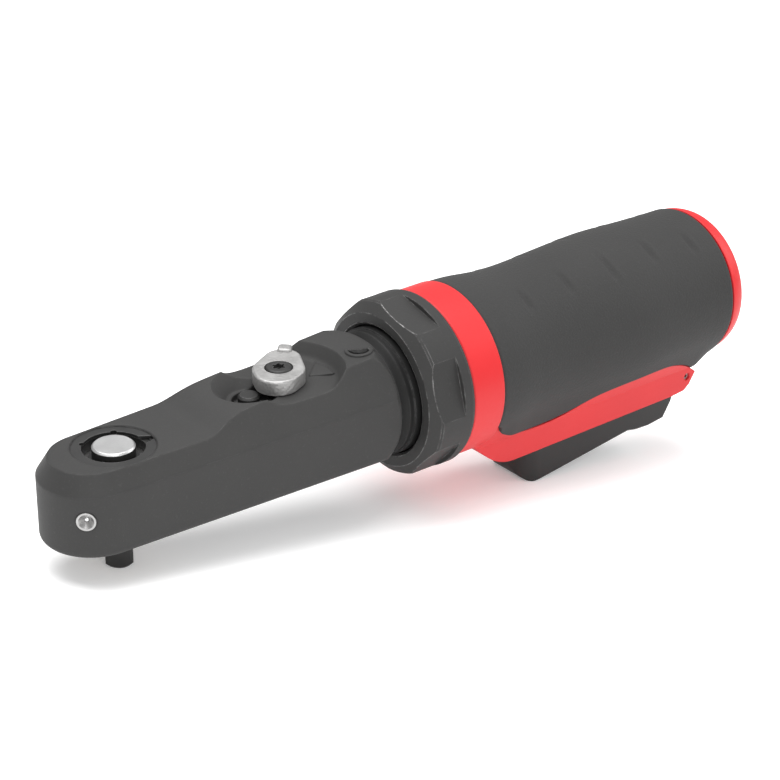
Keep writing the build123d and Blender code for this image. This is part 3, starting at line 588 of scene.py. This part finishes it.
def add_piece(name, mesh, material, body, smooth=True):
    """Put a finished mesh in the scene as a piece that moves with a CAD body."""
    piece = bpy.data.objects.new(name, mesh)
    bpy.context.scene.collection.objects.link(piece)
    mesh.materials.clear()
    mesh.materials.append(material)
    for polygon in mesh.polygons:
        polygon.use_smooth = smooth
    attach(piece, body)
    return piece


grip_data = grip_mesh()
tidy_mesh(grip_data)
grip = add_piece("grip_skin", grip_data, FINISHES["grip_rubber"], "housing")
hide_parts("grip_sleeve")
print("grip has", len(grip_data.polygons), "faces")

# %% [markdown]
# ## Raised arrows on the head
# Two cast marks show which way the drive turns: an arrowhead in the lever's dish, and a round arrow on
# the neck. Each is an outline in plan, dropped onto the head's skin by rays from above, so that it
# follows the slope it stands on. A narrower top ring gives it the chamfer that castings need. The dish
# arrow stays low, because the reversing lever sweeps over it.

# %% Helpers for raised marks
head = frame["nodes"]["ratchet_housing"]
SUNK = 0.4


def skin_height(x, y):
    """Height of the head's skin at a place in plan, in millimetres."""
    spot = head.ray_cast(Vector((x, y, 60)) * MM, Vector((0, 0, -1)))[1]
    return spot.z / MM


def shrunk(outline, inset):
    """The outline moved inwards along the bisector at every corner."""
    count, moved = len(outline), []
    for i, (x, y) in enumerate(outline):
        (x0, y0), (x1, y1) = outline[i - 1], outline[(i + 1) % count]
        before = Vector((x - x0, y - y0)).normalized()
        after = Vector((x1 - x, y1 - y)).normalized()
        inwards = Vector((-before.y - after.y, before.x + after.x))
        reach = inset / max(inwards.length / 2, 0.35)
        corner = Vector((x, y)) + inwards.normalized() * reach
        moved.append((corner.x, corner.y))
    return moved


def raised_mark(outline, height):
    """A closed block under the outline: sunk in the skin, upright to 0.6 of its height, then chamfered."""
    work = bmesh.new()
    skin = [skin_height(x, y) for x, y in outline]
    rings = [(outline, -SUNK), (outline, height * 0.6), (shrunk(outline, 0.16), height)]
    loops = [[work.verts.new(Vector((x, y, z + lift)) * MM) for (x, y), z in zip(ring, skin)]
             for ring, lift in rings]
    for low, high in zip(loops, loops[1:]):
        for i in range(len(outline)):
            j = (i + 1) % len(outline)
            work.faces.new((low[i], low[j], high[j], high[i]))
    work.faces.new(loops[-1])
    work.faces.new(list(reversed(loops[0])))
    bmesh.ops.triangulate(work, faces=[face for face in work.faces if len(face.verts) > 4])
    bmesh.ops.recalc_face_normals(work, faces=work.faces)
    mesh = bpy.data.meshes.new("raised_mark")
    work.to_mesh(mesh)
    work.free()
    return mesh


def on_circle(centre, radius, turn):
    return (centre[0] + radius * cos(radians(turn)), centre[1] + radius * sin(radians(turn)))


def arc(centre, radius, start, end, steps=30):
    return [on_circle(centre, radius, start + (end - start) * i / steps) for i in range(steps + 1)]


def round_arrow(centre, inner, outer, start, end, overhang, head_turn=38):
    """A hoop that runs anticlockwise and ends in an arrowhead wider than itself."""
    arrowhead = [on_circle(centre, outer + overhang, end),
                 on_circle(centre, (inner + outer) / 2, end + head_turn),
                 on_circle(centre, inner - overhang, end)]
    return arc(centre, outer, start, end) + arrowhead + arc(centre, inner, end, start)


print("the dish's floor is at z =", round(skin_height(57, 0), 2), "mm")

# %% Build the arrows
DISH_ARROW = [(58.7, 2.9), (53.2, -1.9), (55.0, -2.9), (58.4, -5.3), (59.3, -1.0)]
NECK_ARROW = round_arrow((66.1, -4.5), inner=2.5, outer=3.4, start=140, end=318, overhang=0.6)
for name, outline, height in (("dish_arrow", DISH_ARROW, 0.22), ("neck_arrow", NECK_ARROW, 0.5)):
    mark = add_piece(name, raised_mark(outline, height), head_coating, "housing", smooth=False)
    print(name, "has", len(mark.data.polygons), "faces")

# %% [markdown]
# ## Thread in the air inlet
# The inlet is tapped for an air fitting. One Geometry Nodes tree winds a helix and sweeps a small
# diamond along it, which leaves a ridge standing on the bore's wall. Its turns, pitch and radius are
# named inputs, so another thread is a change of three numbers.

# %% The tree
def thread_tree():
    tree = bpy.data.node_groups.new("thread_ridge", "GeometryNodeTree")
    for name in ("Turns", "Pitch", "Radius", "Ridge", "Start"):
        tree.interface.new_socket(name, in_out="INPUT", socket_type="NodeSocketFloat")
    tree.interface.new_socket("Finish", in_out="INPUT", socket_type="NodeSocketMaterial")
    tree.interface.new_socket("Geometry", in_out="OUTPUT", socket_type="NodeSocketGeometry")
    nodes, link = tree.nodes, tree.links.new
    given = nodes.new("NodeGroupInput").outputs
    length = nodes.new("ShaderNodeMath")
    length.operation = "MULTIPLY"
    helix = nodes.new("GeometryNodeCurveSpiral")
    helix.inputs["Resolution"].default_value = 40
    section = nodes.new("GeometryNodeCurvePrimitiveCircle")
    section.inputs["Resolution"].default_value = 4
    sweep = nodes.new("GeometryNodeCurveToMesh")
    sweep.inputs["Fill Caps"].default_value = True
    lay_down = nodes.new("GeometryNodeTransform")
    lay_down.inputs["Rotation"].default_value = (0, radians(90), 0)
    place = nodes.new("ShaderNodeCombineXYZ")
    realize = nodes.new("GeometryNodeRealizeInstances")
    finish = nodes.new("GeometryNodeSetMaterial")
    result = nodes.new("NodeGroupOutput")
    link(given["Turns"], length.inputs[0])
    link(given["Pitch"], length.inputs[1])
    link(given["Turns"], helix.inputs["Rotations"])
    link(given["Radius"], helix.inputs["Start Radius"])
    link(given["Radius"], helix.inputs["End Radius"])
    link(length.outputs[0], helix.inputs["Height"])
    link(given["Ridge"], section.inputs["Radius"])
    link(helix.outputs["Curve"], sweep.inputs["Curve"])
    link(section.outputs["Curve"], sweep.inputs["Profile Curve"])
    link(sweep.outputs["Mesh"], lay_down.inputs["Geometry"])
    link(given["Start"], place.inputs["X"])
    link(place.outputs["Vector"], lay_down.inputs["Translation"])
    link(lay_down.outputs["Geometry"], realize.inputs["Geometry"])
    link(realize.outputs["Geometry"], finish.inputs["Geometry"])
    link(given["Finish"], finish.inputs["Material"])
    link(finish.outputs["Geometry"], result.inputs["Geometry"])
    return tree


ridge_tree = thread_tree()
print("thread tree has", len(ridge_tree.nodes), "nodes")

# %% [markdown]
# A tree only shows on an object that carries it. A carrier is made for the time of one evaluation: its
# result is copied to a plain mesh, and the carrier goes away with its modifier. The thread has 18 turns
# to the inch, and its crest stands about a third of a millimetre out of the wall.

# %% Wind the thread
def made_by_nodes(name, tree, values):
    """Run a tree with the values given by input name, and keep the result as a plain mesh."""
    carrier = bpy.data.objects.new(name, bpy.data.meshes.new(name))
    bpy.context.scene.collection.objects.link(carrier)
    modifier = carrier.modifiers.new("rule", "NODES")
    modifier.node_group = tree
    for socket in tree.interface.items_tree:
        if socket.in_out == "INPUT":
            modifier[socket.identifier] = values[socket.name]
    depsgraph = bpy.context.evaluated_depsgraph_get()
    mesh = bpy.data.meshes.new_from_object(carrier.evaluated_get(depsgraph))
    bpy.data.objects.remove(carrier)
    return mesh


TURNS = 9.0
PITCH = 1.411 * MM
RIDGE = 0.42 * MM
FIRST_TURN = 14.2 * MM      # how far inside the inlet's face the helix starts
inlet = next(mount for mount in frame["record"]["mounts"] if mount["name"] == "air_inlet")
inlet_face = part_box("inlet_bushing")[1][0]
thread_mesh = made_by_nodes("inlet_thread", ridge_tree, {
    "Turns": TURNS, "Pitch": PITCH, "Radius": inlet["dims"]["r_mm"] * MM + 0.10 * MM, "Ridge": RIDGE,
    "Start": inlet_face - FIRST_TURN, "Finish": FINISHES["ground_steel"]})
tidy_mesh(thread_mesh)
thread = add_piece("inlet_thread", thread_mesh, FINISHES["ground_steel"], "housing", smooth=False)
print("thread has", len(thread_mesh.polygons), "faces")

# %% [markdown]
# ## Studio
# The tool lies on its drive square and on the throttle lever, so the floor is the plane through the
# two, about eight degrees from the tool's axis. The floor glows a little, as a lit table does, which
# keeps the shadows soft and pale.

# %% Floor
FLOOR_REACH = 0.75
LEVER_FOOT = 4.2 * MM       # from the throttle lever's front to where it touches the floor


def floor_material():
    net = Net("table_white")
    cloud = net.noise(3, 2)
    return net.finish(net.mix(cloud, grey(0.90), grey(0.93)), 0.9, edge_mm=0.01,
                      emission_color=grey(1.0), emission_strength=0.2)


def add_floor():
    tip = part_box("drive_anvil")[0]
    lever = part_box("throttle_lever")[0]
    slope = (lever[2] - tip[2]) / (lever[0] + LEVER_FOOT)
    clearance = 0.1 * MM
    corners = [(0.1 + FLOOR_REACH * sx, FLOOR_REACH * sy) for sx, sy in ((-1, -1), (1, -1), (1, 1), (-1, 1))]
    mesh = bpy.data.meshes.new("table_top")
    mesh.from_pydata([(x, y, tip[2] + slope * x - clearance) for x, y in corners], [], [(0, 1, 2, 3)])
    mesh.materials.append(floor_material())
    table = bpy.data.objects.new("table_top", mesh)
    bpy.context.scene.collection.objects.link(table)
    print("floor slope", round(degrees(atan2(slope, 1)), 2), "degrees")


add_floor()

# %% [markdown]
# The light is that of a product table: a broad overhead panel, a long panel on the camera's side that
# puts a soft line on the coating, a small one behind the handle, and a pale room all round.

# %% Lights
def area_light(name, place, target, size, power):
    data = bpy.data.lights.new(name, "AREA")
    data.shape = "RECTANGLE"
    data.size, data.size_y = size
    data.energy = power
    lamp = bpy.data.objects.new(name, data)
    bpy.context.scene.collection.objects.link(lamp)
    lamp.location = place
    lamp.rotation_euler = (Vector(target) - Vector(place)).to_track_quat("-Z", "Y").to_euler()


TOOL_MIDDLE = Vector((0.09, 0, 0))
area_light("overhead_panel", (0.05, 0.10, 0.75), TOOL_MIDDLE, size=(0.8, 0.8), power=9.5)
area_light("side_panel", (-0.30, -0.70, 0.35), TOOL_MIDDLE, size=(0.7, 0.35), power=2.6)
area_light("handle_panel", (0.75, -0.25, 0.35), TOOL_MIDDLE, size=(0.5, 0.5), power=2.4)
world = bpy.data.worlds.new("white_room")
bpy.context.scene.world = world
world.use_nodes = True
world.node_tree.nodes["Background"].inputs["Color"].default_value = grey(1.0)
world.node_tree.nodes["Background"].inputs["Strength"].default_value = 0.55
bpy.context.scene.view_settings.view_transform = "Standard"
print("studio lit")
